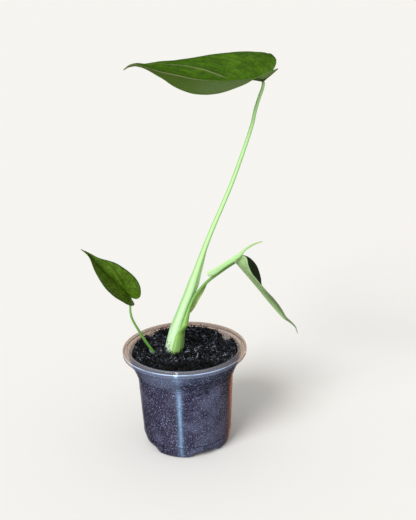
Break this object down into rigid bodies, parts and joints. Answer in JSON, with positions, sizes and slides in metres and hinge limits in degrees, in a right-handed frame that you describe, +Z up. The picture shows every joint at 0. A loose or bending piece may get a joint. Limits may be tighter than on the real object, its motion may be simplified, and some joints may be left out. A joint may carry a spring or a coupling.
{
  "type": "potted houseplant",
  "caption": "Young climbing houseplant with heart-shaped leaves on slender stalks, in a clear flared nursery pot filled with dark soil.",
  "frame": {"origin": "centre of the flat underside of the pot's foot, on the surface that it stands on", "axes": "+Z up, -Y towards the front, where the folded leaf is at the right and the smallest leaf at the left"},
  "size_m": [0.152, 0.09, 0.2796],
  "materials": {
    "smoky_plastic": "clear, thin, slightly smoky",
    "potting_soil": "matte, moist and fibrous",
    "mint_stem": "smooth living stalk",
    "main_blade": "satin leaf",
    "green_stem": "smooth living stalk",
    "pale_sheath": "smooth fleshy sheath",
    "olive_margin": "thin, dry",
    "folded_blade": "satin leaf, paler below",
    "thin_stem": "smooth living stalk",
    "small_blade": "satin leaf"
  },
  "bodies": {
    "root": {"pot": "smoky_plastic", "soil": "potting_soil", "main_stem": "mint_stem", "main_leaf": "main_blade", "second_stem": "green_stem", "second_sheath": "pale_sheath", "second_wing": "olive_margin", "second_leaf": "folded_blade", "small_stem": "thin_stem", "small_leaf": "small_blade"}
  },
  "joints": []
}
